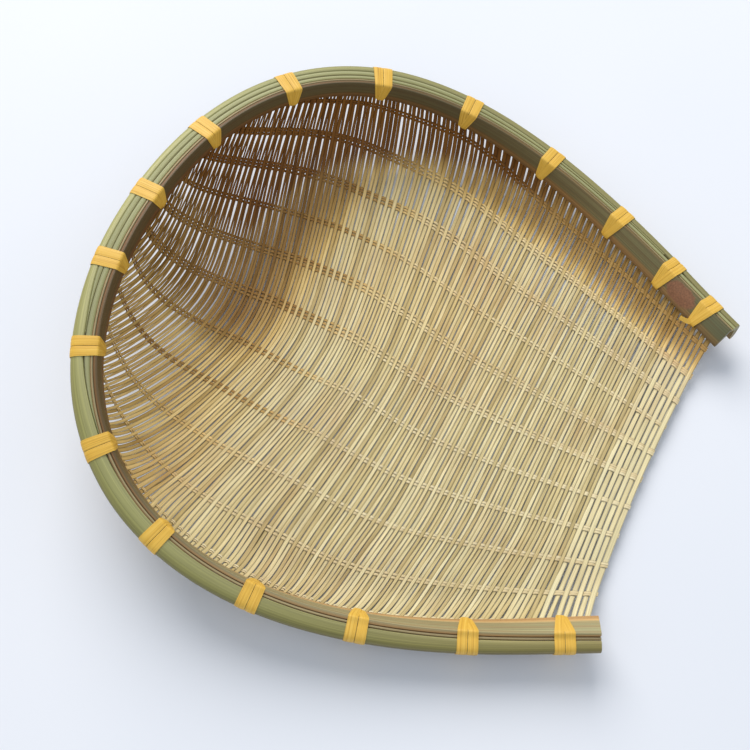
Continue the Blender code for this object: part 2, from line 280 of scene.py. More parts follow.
class Sheet:
    """The bed's surface over flat sheet coordinates.

    x runs from -1 at the left rim to 1 at the right. Where y is below 0 it runs straight from the widest
    row to the mouth; above 0 the sheet is half a disc whose round edge is the rim of the deep end.
    """

    def __init__(self):
        self.rows = np.linspace(SHEET_START, RIM.length / 2, SHEET_ROWS)
        self.grid = np.array([bed_profile(d) for d in self.rows])

    def point(self, x, y):
        """Place of sheet coordinates, in millimetres."""
        x, y = np.broadcast_arrays(np.asarray(x, float), np.asarray(y, float))
        back = y > 0
        turn = np.arctan2(np.maximum(y, 0.0), np.maximum(np.abs(x), 1e-9)) / (math.pi / 2)
        row = np.where(back, WIDEST + (RIM.length / 2 - WIDEST) * turn, WIDEST + y * FRONT_SCALE)
        radius = np.where(back, np.hypot(x, y), np.abs(x))
        i = np.clip((row - self.rows[0]) / (self.rows[1] - self.rows[0]), 0, len(self.rows) - 1.001)
        j = np.clip((1 - radius) * (self.grid.shape[1] - 1), 0, self.grid.shape[1] - 1.001)
        i0, j0 = i.astype(int), j.astype(int)
        a, b = (i - i0)[..., None], (j - j0)[..., None]
        near = self.grid[i0, j0] * (1 - b) + self.grid[i0, j0 + 1] * b
        far = self.grid[i0 + 1, j0] * (1 - b) + self.grid[i0 + 1, j0 + 1] * b
        place = near * (1 - a) + far * a
        place[..., 0] = np.where(x > 0, -place[..., 0], place[..., 0])
        return place

    def upright(self, x, y):
        """Unit normal, towards the inside of the bowl."""
        step = UPRIGHT_STEP
        x, y = np.asarray(x, float), np.asarray(y, float)
        shrink = 1 - 2 * step
        x, y = x * shrink, np.where(y > 0, y * shrink, y)
        right = self.point(x + step, y) - self.point(x - step, y)
        ahead = self.point(x, y + step) - self.point(x, y - step)
        return unit(np.cross(right, ahead))


SHEET = Sheet()

# Warp rows: row m crosses the sheet where x = row_x(m, y). Rows are a whole number apart.
ROW_FIRST = -4
ROW_LAST = 6
ROW_MIDDLE = 1.1

# Wefts: lines across the sheet that follow the slope field below, from the heavier lip to the back.
WEFT_BEND = 0.36
ARM_BEND = 0.13
WEFT_STRIDE = 0.01
WEFT_STRIDES = 140
WEFT_PITCH = 2.4
LIP_PITCH = 3.5
LIP_WEFTS = 6
BACK_ROOM = 2.0


def row_scale(y):
    """Room between two rows: less towards the back."""
    return 0.174 - 0.065 * np.clip(y, 0.0, 1.0) ** 1.5


def row_shift(y):
    """Rows swing to the right in the middle, and back again in the deep end."""
    return 0.05 * smooth((y + 0.4) / 0.5) - 0.12 * smooth((y - 0.35) / 0.65)


def row_x(m, y):
    return row_scale(y) * (m - ROW_MIDDLE) + row_shift(y)


def row_m(x, y):
    return (x - row_shift(y)) / row_scale(y) + ROW_MIDDLE


def weft_slope(x, y):
    """Wefts run straight across at the mouth, and bend back on both sides of the middle in the deep end.

    The left arm flattens the bend where it is widest, and draws the wefts back a little nearer the mouth.
    All numbers here are fitted to the directions that show in the photo.
    """
    widest = smooth((-x - 0.55) / 0.25) * (1 - smooth((y - 0.25) / 0.3))
    near_mouth = smooth((-x - 0.3) / 0.35) * smooth((y + 1.05) / 0.3) * (1 - smooth((y + 0.35) / 0.3))
    bend = WEFT_BEND * np.tanh((x + 0.07) / 0.15) * smooth((y + 0.5) / 1.1)
    return bend * (1 - 1.15 * widest) - ARM_BEND * near_mouth


def inside(x, y):
    return x * x + max(y, 0.0) ** 2 <= 1.0


def weft_line(y):
    """Sheet coordinates of one weft through (0, y), from rim to rim."""
    step = WEFT_STRIDE
    sides = []
    for way in (-1, 1):
        x0, y0 = 0.0, y
        line = [(x0, y0)]
        while inside(x0, y0) and len(line) < WEFT_STRIDES:
            middle = y0 + 0.5 * way * step * weft_slope(x0, y0)
            y1 = y0 + way * step * weft_slope(x0 + 0.5 * way * step, middle)
            x1 = x0 + way * step
            line.append((x1, y1))
            x0, y0 = x1, y1
        (xa, ya), (xb, yb) = line[-2:]
        within, beyond = 0.0, 1.0
        for _ in range(20):
            share = (within + beyond) / 2
            if inside(xa + share * (xb - xa), ya + share * (yb - ya)):
                within = share
            else:
                beyond = share
        line[-1] = (xa + within * (xb - xa), ya + within * (yb - ya))
        sides.append(line)
    return np.array(sides[0][:0:-1] + sides[1])


def weft_starts():
    """Where each weft crosses the middle line of the sheet, from the mouth to the back rim."""
    y = np.linspace(SHEET_LIP, 1.0, 3000)
    passed = walked(SHEET.point(np.zeros_like(y), y))
    steps = [0.0]
    while steps[-1] < passed[-1] - BACK_ROOM:
        steps.append(steps[-1] + (LIP_PITCH if len(steps) <= LIP_WEFTS else WEFT_PITCH))
    return np.interp(steps[:-1], passed, y)


# ---------------------------------------------------------------- meshes

STRIP_SHARP = 50.0


class Strands:
    """Collects swept strips into one mesh.

    Its UV map "along" holds each strip's length in metres and its turn round the section. Points carry the
    strip's tint, 0 to 1, and a value from 0 to 1 for its browning mixed with painted light and shade.
    """

    def __init__(self):
        self.points, self.faces, self.uvs, self.tints, self.brown_and_shade_rows = [], [], [], [], []
        self.caps = []
        self.count = 0

    def sweep(self, rings, length, turn, tint=0.0, closed=False, brown_and_shade=0.0):
        """rings: (n, k, 3) in millimetres; length: (n,) in metres; turn: (k + 1,), 0 to 1 round a ring."""
        n, k = rings.shape[:2]
        base = self.count + np.arange(n * k).reshape(n, k)
        last = n if closed else n - 1
        rows = np.arange(last)
        after = (rows + 1) % n
        lengths = np.append(length, length[-1] + np.linalg.norm(rings[0, 0] - rings[-1, 0]) * MM)
        for j in range(k):
            jn = (j + 1) % k
            self.faces.append(np.column_stack((base[rows, j], base[rows, jn], base[after, jn], base[after, j])))
            u0, u1 = lengths[rows], lengths[rows + 1]
            v0, v1 = np.full(last, turn[j]), np.full(last, turn[j + 1])
            self.uvs.append(np.stack((u0, v0, u0, v1, u1, v1, u1, v0), axis=-1).reshape(-1, 4, 2))
        if not closed:
            self.caps.append((base[0][::-1].tolist(), length[0]))
            self.caps.append((base[-1].tolist(), length[-1]))
        self.points.append(rings.reshape(-1, 3))
        self.tints.append(np.full(n * k, tint))
        self.brown_and_shade_rows.append(np.repeat(np.broadcast_to(brown_and_shade, (n,)), k))
        self.count += n * k

    def build(self, name, material, angle=STRIP_SHARP):
        """Object of all strips so far. Edges sharper than angle, in degrees, are not smoothed."""
        points = (np.concatenate(self.points) + SHIFT) * MM
        quads = np.concatenate(self.faces)
        uvs = np.concatenate(self.uvs).reshape(-1, 2)
        loops = quads.ravel()
        sizes = np.full(len(quads), 4)
        for corners, length in self.caps:
            loops = np.concatenate((loops, corners))
            sizes = np.append(sizes, len(corners))
            spread = np.linspace(0.0, 1.0, len(corners))
            uvs = np.concatenate((uvs, np.column_stack((np.full(len(corners), length), spread))))
        mesh = bpy.data.meshes.new(name)
        mesh.vertices.add(len(points))
        mesh.vertices.foreach_set("co", points.ravel())
        mesh.loops.add(len(loops))
        mesh.loops.foreach_set("vertex_index", loops.astype(np.int32))
        mesh.polygons.add(len(sizes))
        mesh.polygons.foreach_set("loop_start", np.concatenate(([0], np.cumsum(sizes)[:-1])).astype(np.int32))
        layer = mesh.uv_layers.new(name="along")
        layer.uv.foreach_set("vector", uvs.ravel().astype(np.float32))
        for field, rows in (("tint", self.tints), ("brown_and_shade", self.brown_and_shade_rows)):
            values = mesh.attributes.new(field, "FLOAT", "POINT")
            values.data.foreach_set("value", np.concatenate(rows).astype(np.float32))
        mesh.update(calc_edges=True)
        mesh.validate()
        mesh.shade_smooth()
        mesh.set_sharp_from_angle(angle=math.radians(angle))
        mesh.materials.append(material)
        piece = bpy.data.objects.new(mesh.name, mesh)
        bpy.context.scene.collection.objects.link(piece)
        return piece


STRIP_SECTION = np.array(((-1.0, -1.0), (1.0, -1.0), (1.0, 0.3), (0.0, 1.0), (-1.0, 0.3)))
STRIP_TURN = np.array((0.0, 0.3, 0.4, 0.65, 0.9, 1.0))
STRIP_CROWN = 0.65


def strip_rings(line, up, width, thick):
    """Rings of a flat strip that follows line, its face turned to up."""
    ahead = unit(np.gradient(line, axis=0))
    side = unit(np.cross(ahead, up))
    face = np.cross(side, ahead)
    width = np.broadcast_to(np.asarray(width, float), (len(line),))
    a = STRIP_SECTION[:, 0] * width[:, None] / 2
    b = STRIP_SECTION[:, 1] * thick / 2
    return line[:, None] + a[..., None] * side[:, None] + b[..., None] * face[:, None]


def walked_length(line):
    """Length coordinate of a strip, in metres."""
    return walked(line) * MM


# ---------------------------------------------------------------- materials

NOISE_RANGE = (0.25, 0.75)


class Nodes:
    """Small helper that builds one material's node tree."""

    def __init__(self, name):
        self.material = bpy.data.materials.new(name)
        self.material.use_nodes = True
        self.tree = self.material.node_tree
        self.shader = self.tree.nodes["Principled BSDF"]

    def new(self, kind, **values):
        node = self.tree.nodes.new(kind)
        for key, value in values.items():
            setattr(node, key, value)
        return node

    def link(self, a, b):
        self.tree.links.new(a, b)

    def feed(self, socket, value):
        if isinstance(value, bpy.types.NodeSocket):
            self.link(value, socket)
        else:
            socket.default_value = value

    def math(self, how, a, b=0.0):
        node = self.new("ShaderNodeMath", operation=how)
        for socket, value in zip(node.inputs, (a, b)):
            self.feed(socket, value)
        return node.outputs[0]

    def mix(self, share, a, b, how="MIX"):
        node = self.new("ShaderNodeMix", data_type="RGBA", blend_type=how)
        self.feed(node.inputs[0], share)
        for socket, value in ((node.inputs[6], a), (node.inputs[7], b)):
            self.feed(socket, value if isinstance(value, bpy.types.NodeSocket) else (*value, 1.0))
        return node.outputs[2]

    def ramp(self, value, *stops):
        node = self.new("ShaderNodeValToRGB")
        element = node.color_ramp.elements
        while len(element) < len(stops):
            element.new(0.5)
        for slot, (place, colour) in zip(element, stops):
            slot.position = place
            slot.color = (*colour, 1.0)
        self.link(value, node.inputs[0])
        return node.outputs[0]

    def uv(self):
        node = self.new("ShaderNodeUVMap", uv_map="along")
        split = self.new("ShaderNodeSeparateXYZ")
        self.link(node.outputs[0], split.inputs[0])
        return split.outputs[0], split.outputs[1]

    def value(self, name):
        """One of the mesh's own point values by name, such as the tint and the value for browning mixed with
        painted light and shade.
        """
        return self.new("ShaderNodeAttribute", attribute_name=name).outputs["Fac"]

    def place(self):
        return self.new("ShaderNodeTexCoord").outputs["Object"]

    def stretched(self, u, v, *third):
        """Texture place from (value, scale) pairs."""
        return self.join(*(self.math("MULTIPLY", value, scale) for value, scale in (u, v, *third)))

    def dim(self, shade, light):
        """Multiply a shade by a grey value."""
        return self.mix(1.0, shade, self.join(light, light, light), "MULTIPLY")

    def join(self, x, y, z=0.0):
        node = self.new("ShaderNodeCombineXYZ")
        for socket, value in zip(node.inputs, (x, y, z)):
            self.feed(socket, value)
        return node.outputs[0]

    def noise(self, where, scale, detail=3.0, rough=0.55):
        node = self.new("ShaderNodeTexNoise")
        self.link(where, node.inputs["Vector"])
        node.inputs["Scale"].default_value = scale
        node.inputs["Detail"].default_value = detail
        node.inputs["Roughness"].default_value = rough
        return node.outputs["Fac"]

    def bump(self, height, distance, strength):
        node = self.new("ShaderNodeBump")
        node.inputs["Strength"].default_value = strength
        node.inputs["Distance"].default_value = distance
        self.link(height, node.inputs["Height"])
        self.link(node.outputs[0], self.shader.inputs["Normal"])

    def remap(self, value, limits, how="LINEAR"):
        """Map value by (from low, from high, to low, to high)."""
        node = self.new("ShaderNodeMapRange", interpolation_type=how)
        self.link(value, node.inputs[0])
        for socket, limit in zip(node.inputs[1:5], limits):
            socket.default_value = limit
        return node.outputs[0]

    def span(self, noise, low, high):
        """Spread a noise's usual range over low to high."""
        return self.remap(noise, (*NOISE_RANGE, low, high))


# Colour factors for the browning value. The warm step at 0.3 is painted light, lifting the shaded deep-end wall;
# the darkening towards 1 is partly brown bamboo and partly painted shade.
BROWN_AND_SHADE_STOPS = (
    (0.0, (1.0, 1.0, 1.0)),
    (0.3, (1.04, 0.87, 0.60)),
    (0.5, (0.74, 0.56, 0.32)),
    (1.0, (0.32, 0.155, 0.045)),
)
RED_STAIN = (0.42, 0.19, 0.07)
# Map range of the painted shade along the edges of every weave strip.
STRIP_EDGE_SHADE = (0.12, 0.27, 1.06, 0.50)


def bamboo_strip(name, pale, mid, dark, red=0.5):
    """Thin split bamboo: each strip has its own shade, with fibres, a few reddish stretches, painted shade along
    its edges, and browning mixed with painted light and shade.
    """
    n = Nodes(name)
    u, v = n.uv()
    tint = n.value("tint")
    grain = n.noise(n.stretched((u, 9.0), (v, 7.0), (tint, 37.0)), 4.0, 4.0, 0.6)
    shade = n.ramp(tint, (0.0, dark), (0.35, mid), (1.0, pale))
    along = n.noise(n.stretched((u, 22.0), (tint, 91.0)), 1.0, 2.0)
    shade = n.mix(n.span(along, 0.0, 0.45), shade, mid)
    stain = n.noise(n.place(), 16.0, 3.0)
    patch = n.math("MULTIPLY", n.span(stain, -0.6, 1.0), n.span(along, 0.0, red))
    shade = n.mix(n.math("MAXIMUM", patch, 0.0), shade, RED_STAIN)
    # Painted shade along both edges of the strip, growing away from its crown.
    from_middle = n.math("ABSOLUTE", n.math("SUBTRACT", v, STRIP_CROWN))
    edge = n.remap(from_middle, STRIP_EDGE_SHADE, "SMOOTHSTEP")
    light = n.math("MULTIPLY", n.span(grain, 0.62, 1.24), edge)
    shade = n.dim(shade, light)
    # Browning mixed with painted light and shade, read from the point value.
    shade = n.mix(1.0, shade, n.ramp(n.value("brown_and_shade"), *BROWN_AND_SHADE_STOPS), "MULTIPLY")
    n.link(shade, n.shader.inputs["Base Color"])
    n.link(n.span(grain, 0.66, 0.46), n.shader.inputs["Roughness"])
    n.shader.inputs["Specular IOR Level"].default_value = 0.22
    n.bump(grain, 0.00012, 0.6)
    return n.material


BAND_SWAY = 0.08


def scarred(n, shade, u, v, middle, reach, colour):
    """Shade with one rough oval spot round middle, given like reach in the mesh's own u and v."""
    a = n.math("DIVIDE", n.math("SUBTRACT", u, middle[0]), reach[0])
    b = n.math("DIVIDE", n.math("SUBTRACT", v, middle[1]), reach[1])
    far = n.math("ADD", n.math("MULTIPLY", a, a), n.math("MULTIPLY", b, b))
    rough_edge = n.math("MULTIPLY", n.noise(n.place(), 260.0, 3.0), 0.9)
    spot = n.remap(n.math("ADD", far, rough_edge), (1.75, 1.15, 0.0, 1.0), "SMOOTHSTEP")
    speckle = n.ramp(n.noise(n.place(), 900.0, 2.0), (0.3, tuple(0.6 * c for c in colour)), (0.7, colour))
    return n.mix(spot, shade, speckle)


def hoop_bamboo(name, stops, streak, lines=26.0, rough=0.42, along=(), scar=None):
    """Thick split bamboo: bands of colour across its section, long streaks and fine fibre lines along it.

    along multiplies the shade by colours placed along the hoop, as (share of its length, colour).
    scar is one spot, as (middle, reach, colour).
    """
    n = Nodes(name)
    u, v = n.uv()
    sway = n.noise(n.join(n.math("MULTIPLY", u, 5.0), 0.0), 1.0, 2.0)
    across = n.math("ADD", v, n.math("MULTIPLY", n.math("SUBTRACT", sway, 0.5), BAND_SWAY))
    shade = n.ramp(across, *stops)
    long_streak = n.noise(n.stretched((u, 3.0), (v, 14.0)), 1.0, 4.0)
    shade = n.mix(n.span(long_streak, -0.25, 0.6), shade, streak)
    fibre = n.noise(n.stretched((u, 12.0), (v, lines * 4)), 1.0, 4.0, 0.7)
    ridge = n.noise(n.stretched((u, 4.0), (v, lines * 1.6)), 1.0, 2.0, 0.6)
    shade = n.dim(shade, n.math("MULTIPLY", n.span(fibre, 0.70, 1.18), n.span(ridge, 0.66, 1.20)))
    if along:
        place = n.math("MULTIPLY", u, 1.0 / (RIM.length * MM))
        shade = n.mix(1.0, shade, n.ramp(place, *along), "MULTIPLY")
    if scar:
        shade = scarred(n, shade, u, v, *scar)
    n.link(shade, n.shader.inputs["Base Color"])
    n.link(n.span(fibre, rough + 0.12, rough - 0.08), n.shader.inputs["Roughness"])
    n.shader.inputs["Specular IOR Level"].default_value = 0.4
    n.bump(fibre, 0.0003, 0.5)
    return n.material


YELLOW_DEEP = (0.52, 0.26, 0.025)
YELLOW_MID = (0.80, 0.47, 0.055)
YELLOW_PALE = (0.91, 0.62, 0.13)
YELLOW_BLOTCH = (0.80, 0.46, 0.05)


def yellow_strip():
    """Flat fibrous strip of the lashings."""
    n = Nodes("yellow_strip")
    u, v = n.uv()
    fibre = n.noise(n.stretched((u, 18.0), (v, 34.0), (n.value("tint"), 19.0)), 1.0, 4.0, 0.65)
    shade = n.ramp(fibre, (0.3, YELLOW_DEEP), (0.5, YELLOW_MID), (0.75, YELLOW_PALE))
    blotch = n.noise(n.place(), 90.0, 2.0)
    shade = n.mix(n.span(blotch, 0.0, 0.3), shade, YELLOW_BLOTCH)
    n.link(shade, n.shader.inputs["Base Color"])
    n.link(n.span(fibre, 0.55, 0.38), n.shader.inputs["Roughness"])
    n.bump(fibre, 0.0002, 0.6)
    return n.material


TABLE_SHADES = ((0.78, 0.81, 0.87), (0.82, 0.84, 0.89))


def table_top():
    n = Nodes("table_top")
    grain = n.noise(n.place(), 3.0, 2.0)
    n.link(n.mix(n.span(grain, 0.0, 1.0), *TABLE_SHADES), n.shader.inputs["Base Color"])
    n.shader.inputs["Roughness"].default_value = 0.7
    n.shader.inputs["Specular IOR Level"].default_value = 0.2
    return n.material


GREEN_PALE = (0.47, 0.465, 0.25)
GREEN_MID = (0.32, 0.315, 0.115)
GREEN_OLIVE = (0.21, 0.175, 0.058)
TAN = (0.55, 0.36, 0.16)
BROWN = (0.26, 0.13, 0.05)
GREY_GREEN = (0.30, 0.30, 0.17)

# ---------------------------------------------------------------- pieces

ROOT = "root"
HOOP_STEPS = 420
SPLINT_STEPS = 320
HOOP_SHARP = 38.0
SCAR_PLACE = (BINDINGS[-1] + BINDINGS[-2]) / 2 - 1.0
SCAR_LENGTH = 8.0
SCAR_RISE = 0.35
EDGE_INNER = 0.3
EDGE_OUTER = 2.1
EDGE_TOP = -0.45
EDGE_LOW = -4.2
EDGE_RAGGED = 0.25


def settle(piece, slot, *nodes):
    """Tie a piece to the frame and hide the CAD nodes that it stands for; slot is not used."""
    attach(piece, ROOT)
    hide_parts(*nodes)


def rounded(outline, turns, radius):
    """Corner-rounded copy of a closed outline given as (n, 2) rows, with turns points to a corner."""
    made = []
    count = len(outline)
    for k in range(count):
        here, before, after = outline[k], outline[k - 1], outline[(k + 1) % count]
        a = here + (before - here) * min(radius / max(np.linalg.norm(before - here), 1e-6), 0.45)
        b = here + (after - here) * min(radius / max(np.linalg.norm(after - here), 1e-6), 0.45)
        for t in np.linspace(0.0, 1.0, turns):
            made.append((1 - t) ** 2 * a + 2 * t * (1 - t) * here + t * t * b)
    return np.array(made)


def swept_hoop(name, outline_at, start, end, material, steps=HOOP_STEPS):
    """Solid along the rim; outline_at(distance) gives its (across, height) rows."""
    distances = np.linspace(start, end, steps)
    rings = np.array([RIM.point(distance, *outline_at(distance).T) for distance in distances])
    middle = rings[len(rings) // 2]
    sides = np.linalg.norm(np.diff(middle, axis=0, append=middle[:1]), axis=1)
    turn = np.concatenate(([0.0], np.cumsum(sides) / sides.sum()))
    strands = Strands()
    strands.sweep(rings, distances * MM, turn)
    return strands.build(name, material, HOOP_SHARP)


def outer_outline(distance):
    """Outer hoop: flat inside, rounded skin outside."""
    side = outer_inner_side(distance)
    thick = outer_thickness(distance)
    high = hoop_width(distance)
    rows = np.array((
        (0.0, -high),
        (0.0, -0.3),
        (0.2 * thick, 0.2),
        (0.6 * thick, 0.1),
        (0.88 * thick, -0.06 * high),
        (1.0 * thick, -0.22 * high),
        (1.0 * thick, -0.5 * high),
        (0.9 * thick, -0.8 * high),
        (0.5 * thick, -high),
    ))
    rows = rounded(rows, 3, 1.2)
    turn = math.radians(OUTER_LEAN)
    across = side + rows[:, 0] * math.cos(turn) + rows[:, 1] * math.sin(turn)
    return np.column_stack((across, rows[:, 1] * math.cos(turn) - rows[:, 0] * math.sin(turn)))


def inner_outline(distance):
    """Leaning slat, with a slight swelling at its scar."""
    wide = hoop_width(distance)
    thick = INNER_THICK
    rows = np.array((
        (0.0, -wide),
        (0.0, 0.0),
        (-thick, 0.0),
        (-thick - 0.25, -wide / 2),
        (-thick, -wide),
    ))
    rows[3, 0] -= SCAR_RISE * math.exp(-(((distance - SCAR_PLACE) / SCAR_LENGTH) ** 2))
    rows = rounded(rows, 4, 0.6)
    return np.column_stack(leaning(distance, rows[:, 0], rows[:, 1]))


def edge_outline(distance):
    """Ends of the bed's strips, pressed together between the two hoops."""
    ragged = EDGE_RAGGED * math.sin(distance * 1.9) * math.sin(distance * 0.37)
    from_end = min(distance, RIM.length - distance)
    low = EDGE_LOW if from_end > LIP_START else 1.0 - hoop_width(distance)
    out = np.array((EDGE_INNER, EDGE_OUTER, EDGE_OUTER, EDGE_INNER))
    up = np.array((low, low, EDGE_TOP + ragged, EDGE_TOP + ragged))
    return np.column_stack(leaning(distance, out, up))


def splint_outline(number):
    """Outline function of one filler splint; the first lies a little sunk at the left arm."""

    def outline(distance):
        wide = splint_width(number, distance)
        side = splint_inner(number, distance)
        low = -SPLINT_HEIGHT - 0.2
        sunk = SPLINT_SUNK * (1 - smooth((distance / RIM.length - 0.3) / 0.12)) if number == 0 else 0.0
        top = 0.05 - sunk
        rows = np.array((
            (side, low),
            (side, top - 0.3),
            (side + 0.3 * wide, top),
            (side + 0.7 * wide, top),
            (side + wide, top - 0.3),
            (side + wide, low),
        ))
        return rounded(rows, 2, 0.2)

    return outline


# Bands of colour across the section, from the turn coordinate of the outline.
# Outer hoop: tan inner face, pale green top, then olive and brown down the rounded outer face. That darkening is
# partly the skin's own colour and partly painted shade of the rounded face.
OUTER_BANDS = (
    (0.0, TAN),
    (0.28, (0.42, 0.38, 0.18)),
    (0.36, GREEN_PALE),
    (0.52, GREEN_MID),
    (0.66, GREEN_OLIVE),
    (0.80, GREEN_OLIVE),
    (0.9, BROWN),
)
SLAT_BANDS = ((0.0, TAN), (0.44, TAN), (0.50, GREY_GREEN), (0.78, GREY_GREEN), (0.84, TAN), (1.0, BROWN))
SPLINT_BANDS = ((0.0, BROWN), (0.3, GREEN_MID), (0.55, GREEN_PALE), (0.8, GREEN_MID))
FILLER_BANDS = ((0.0, BROWN), (0.2, GREY_GREEN), (0.6, TAN), (0.8, BROWN))
EDGE_BANDS = ((0.0, BROWN), (0.3, TAN), (0.6, BROWN), (1.0, TAN))

# Colour along the rim, from the end of the left arm to the end of the right one. The outer hoop's is its own tone,
# tanner on the arms and lighter round the back.
OUTER_ALONG = (
    (0.0, (0.9, 0.76, 0.6)),
    (0.14, (0.8, 0.75, 0.6)),
    (0.3, (1.05, 1.04, 0.95)),
    (0.5, (1.5, 1.42, 1.35)),
    (0.62, (1.1, 1.08, 1.0)),
    (0.75, (0.95, 0.88, 0.8)),
    (1.0, (0.8, 0.72, 0.6)),
)
# The slat's is painted light and shade: light on the left arm, where its inner face is lit, and dark brown round
# the back and the right side, where that face is in shade.
SLAT_PAINTED_LIGHT = (
    (0.0, (1.5, 1.4, 1.25)),
    (0.2, (1.2, 1.1, 1.0)),
    (0.32, (0.5, 0.36, 0.25)),
    (0.5, (0.42, 0.28, 0.18)),
    (0.75, (0.42, 0.34, 0.24)),
    (0.88, (0.7, 0.6, 0.45)),
    (0.96, (0.6, 0.55, 0.42)),
    (1.0, (0.4, 0.42, 0.32)),
)
SCAR_SPOT = ((SCAR_PLACE * MM, 0.70), (0.0125, 0.18), (0.30, 0.135, 0.065))


def hoops():
    green = hoop_bamboo("green_hoop", OUTER_BANDS, GREEN_MID, along=OUTER_ALONG)
    # The slat's colour along the rim is painted light and shade.
    slat = hoop_bamboo("inner_slat", SLAT_BANDS, BROWN, along=SLAT_PAINTED_LIGHT, scar=SCAR_SPOT)
    splint = hoop_bamboo("green_splint", SPLINT_BANDS, GREEN_PALE, 10.0)
    filler = hoop_bamboo("tan_splint", FILLER_BANDS, GREY_GREEN, 8.0)
    edge = hoop_bamboo("bed_edge", EDGE_BANDS, BROWN, 12.0, 0.6)
    end = RIM.length
    settle(swept_hoop("bed_edge_strip", edge_outline, GAP, end - GAP, edge), "bamboo_weave", "woven_bed")
    settle(swept_hoop("outer_hoop_split", outer_outline, 0.0, end, green), "green_bamboo", "outer_hoop")
    settle(swept_hoop("inner_hoop_slat", inner_outline, 0.0, end, slat), "split_bamboo", "inner_hoop")
    for number, (starts, ends) in enumerate(SPLINT_SPAN):
        made = swept_hoop(
            f"splint_{number + 1}",
            splint_outline(number),
            starts * end,
            ends * end,
            splint if number else filler,
            SPLINT_STEPS,
        )
        settle(made, "green_bamboo", f"rim_splint_{number + 1}")


# Strips of the weave. Waves are half the rise and fall over and under the crossing strips.
WEFT_STEP = 2.2
WEFT_THICK = 0.55
WEFT_WAVE = 0.38
WEFT_SLIT = 0.22
WALL_SLIT = 0.28
WEFT_WIDTHS = (1.4, 3.3)
WEFT_TILT = 0.13
WEFT_KNOT = 7
WEFT_LOOSE = (0.1, 0.8)
LIP_WIDTHS = (3.6, 3.1)
LIP_DRIFT = 0.3
WARP_THICK = 0.42
WARP_WAVE = 0.46
WARP_WIDTH = 1.75
WARP_STEP = 2.1
WARP_KNOT = 9
WARP_WANDER = 0.0011
WARP_OVERHANG = 0.62
WARP_FINE = 5
SHEET_MM = 185.0
# Each strip's length coordinate starts this much later than the last one's, so that no two have the same fibres.
WEFT_LATER = 1.7
WARP_LATER = 2.3


def bed_brown_and_shade(x, y, height):
    """How much a strip is darkened and warmed: most up the right wall and in the deep end, partly brown bamboo and
    partly painted shade; a little along the right arm, painted shade of the arm; and a light 0.3 over the deep
    end, painted light.

    The places are fitted to the photo, from 0 for the strip's own colour to 1 for the darkest.
    """
    # Right wall and deep end: partly brown bamboo, partly painted shade.
    wall = smooth((x + 0.2) / 0.45) * smooth((y + 0.75) / 0.6) * smooth((height + 2.0) / 15.0)
    deep = 0.8 * smooth((x + 0.32) / 0.27) * smooth((y - 0.2) / 0.25)
    # Painted light: a warm, lighter step over the deep end.
    back = 0.3 * smooth((y - 0.1) / 0.4)
    # Painted shade cast by the right arm.
    arm = 0.6 * smooth((x - 0.62) / 0.2)
    return np.maximum(np.maximum(wall, deep), np.maximum(back, arm))


def warp_brown_and_shade(x, y):
    """Warps are darker all over the deep end: partly brown bamboo, partly painted shade."""
    return 0.8 * smooth((x + 0.6) / 0.35) * smooth((y + 0.05) / 0.4)


def weft_space(lines, k, x, base, side):
    """Room from this weft's middle line to its neighbours', averaged over the sides that have one."""
    room = []
    for near in (k - 1, k + 1):
        if 0 <= near < len(lines):
            beside = np.interp(x, lines[near][:, 0], lines[near][:, 1])
            shown = (x > lines[near][0, 0]) & (x < lines[near][-1, 0])
            gap = np.abs(((SHEET.point(x, beside) - base) * side).sum(axis=1))
            room.append(np.where(shown, gap, np.nan))
    room = np.array(room)
    known = ~np.isnan(room)
    total = np.where(known, room, 0.0).sum(axis=0)
    return np.where(known.any(axis=0), total / np.maximum(known.sum(axis=0), 1), WEFT_PITCH)


